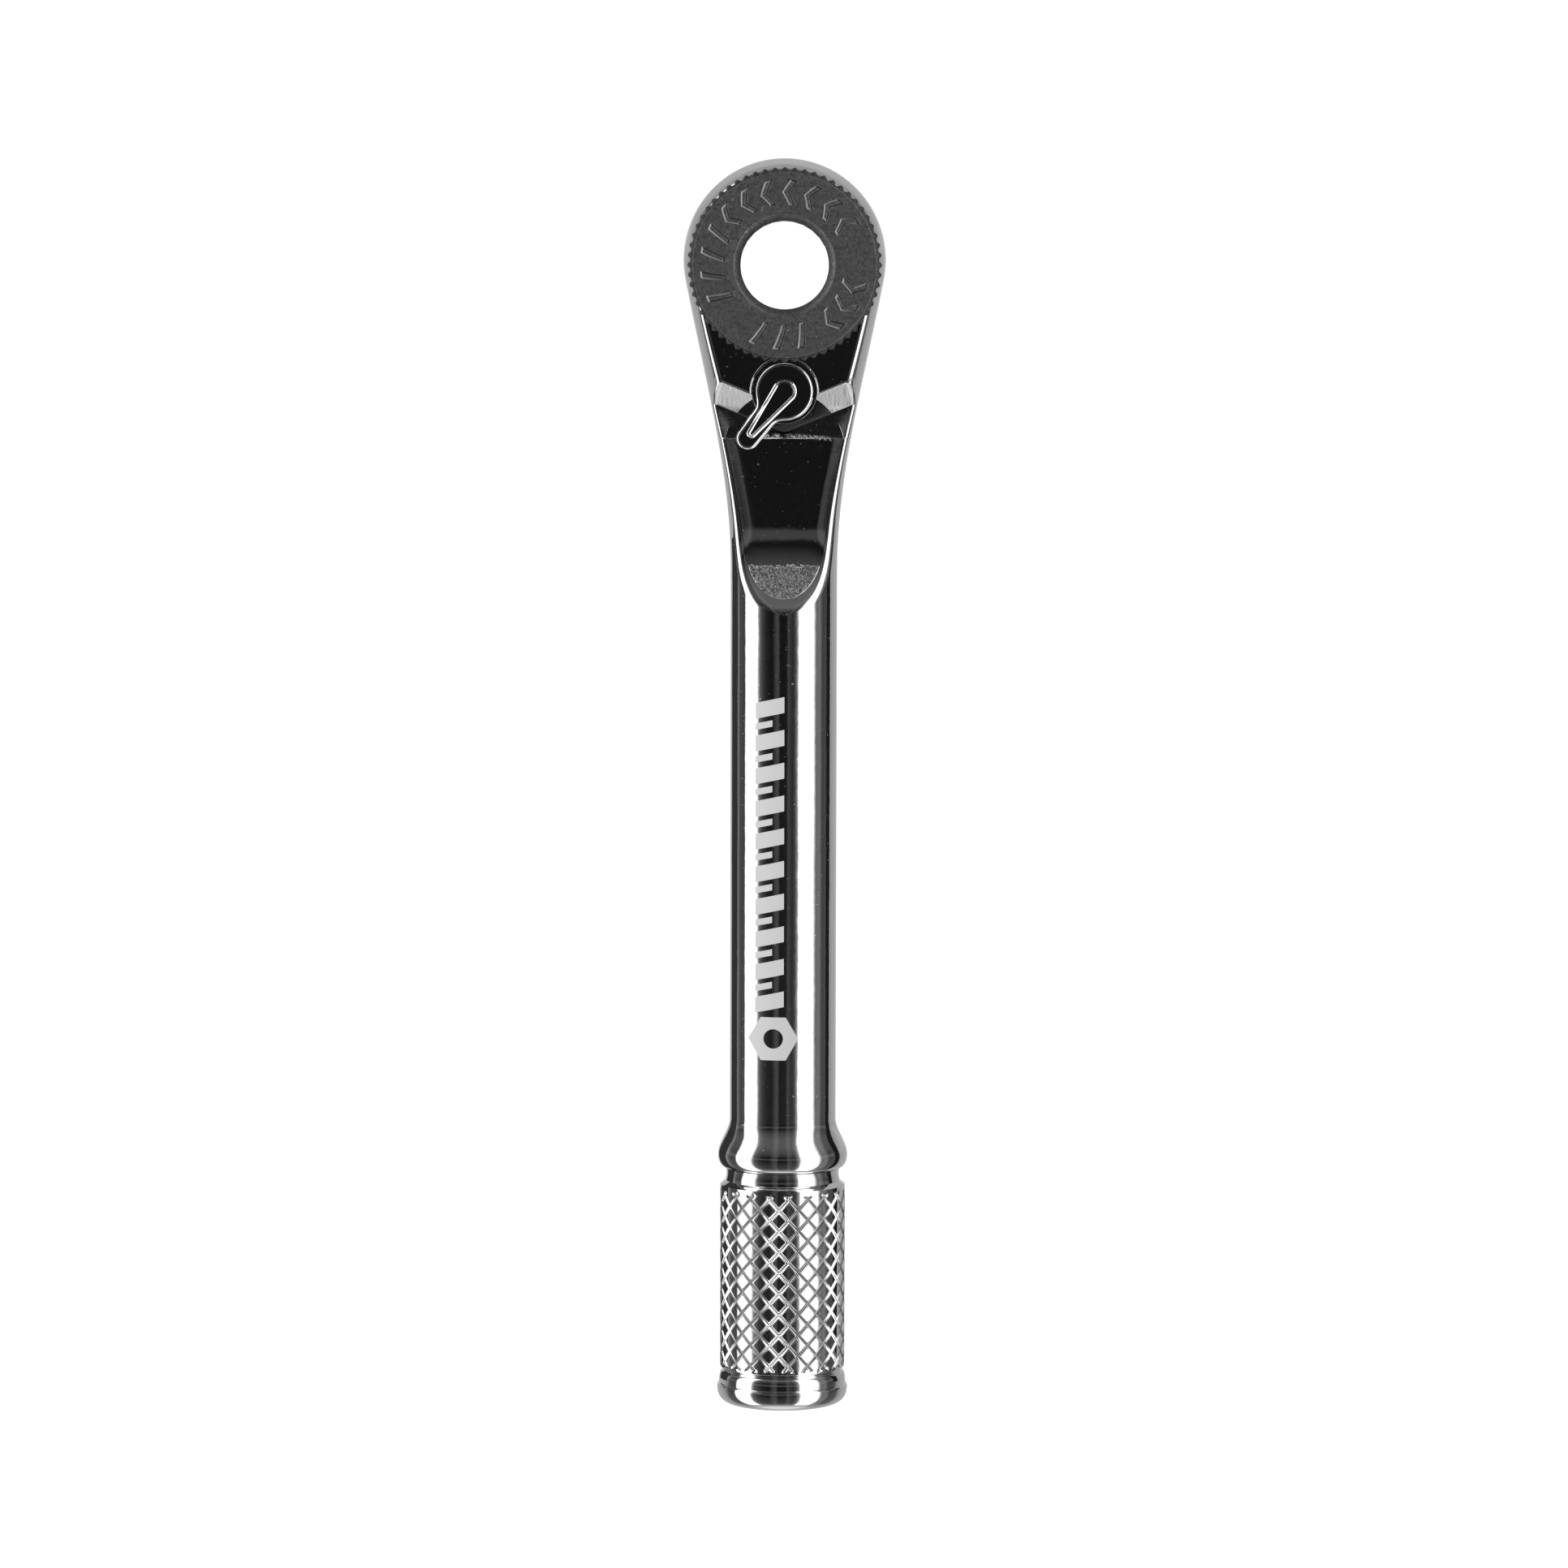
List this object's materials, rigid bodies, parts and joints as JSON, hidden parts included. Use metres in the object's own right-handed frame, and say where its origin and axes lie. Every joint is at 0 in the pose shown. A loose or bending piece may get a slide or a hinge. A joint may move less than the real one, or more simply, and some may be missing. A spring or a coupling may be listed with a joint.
{
  "type": "ratchet wrench",
  "caption": "Pocket reversible ratchet wrench with a hex bit socket through the head, a thumb ring, a reversing lever and a knurled bit-holding end.",
  "frame": {"origin": "the middle of the whole tool's bounding box: on its plane of symmetry, halfway between the head's tip and the knurled end's mouth; the drive gear's axis is 37.3 mm from it along +Y", "axes": "+Z out of the face with the thumb ring and the lever; +Y from the handle towards the head; +X to the right when the ring faces the viewer with the head up"},
  "size_m": [0.0146, 0.09, 0.0098],
  "materials": {
    "chrome": "polished",
    "dark_steel": "matte sintered, dark oxide",
    "hardened_steel": "satin",
    "spring_steel": "satin",
    "rubber": "matte",
    "nickel": "nickel-plated"
  },
  "bodies": {
    "handle": {"body": "chrome", "end_socket": "chrome", "socket_magnet": "nickel", "socket_bit_ring": "spring_steel", "gear_seal": "rubber", "gear_wave_washer": "spring_steel", "gear_back_washer": "hardened_steel", "gear_snap_ring": "spring_steel", "pawl_pin": "hardened_steel"},
    "drive": {"ratchet_gear": "hardened_steel", "thumb_ring": "dark_steel", "gear_bit_ring": "spring_steel"},
    "pawl": {"pawl": "hardened_steel"},
    "lever": {"reverse_lever": "chrome", "lever_seal": "rubber", "lever_clip": "spring_steel", "plunger_spring": "spring_steel"},
    "plunger": {"detent_plunger": "hardened_steel"}
  },
  "joints": [
    {"name": "drive_spin", "type": "hinge", "parent": "handle", "child": "drive", "pos_m": [0, 0.03732, -0.00018], "axis": [0, 0, 1], "continuous": true},
    {"name": "lever_swing", "type": "hinge", "parent": "handle", "child": "lever", "pos_m": [0, 0.02837, -0.00018], "axis": [0, 0, 1], "range_deg": [0, 76]},
    {"name": "pawl_rock", "type": "hinge", "parent": "handle", "child": "pawl", "pos_m": [0, 0.03117, -0.00018], "axis": [0, 0, 1], "range_deg": [-10, 0]},
    {"name": "plunger_slide", "type": "slide", "parent": "lever", "child": "plunger", "axis": [0.6157, 0.788, 0], "range_m": [-0.0002, 0], "stiffness_N_per_m": 2}
  ],
  "couplings": [
    {"joint": "pawl_rock", "follows": "lever_swing", "ratio": -0.13158}
  ]
}
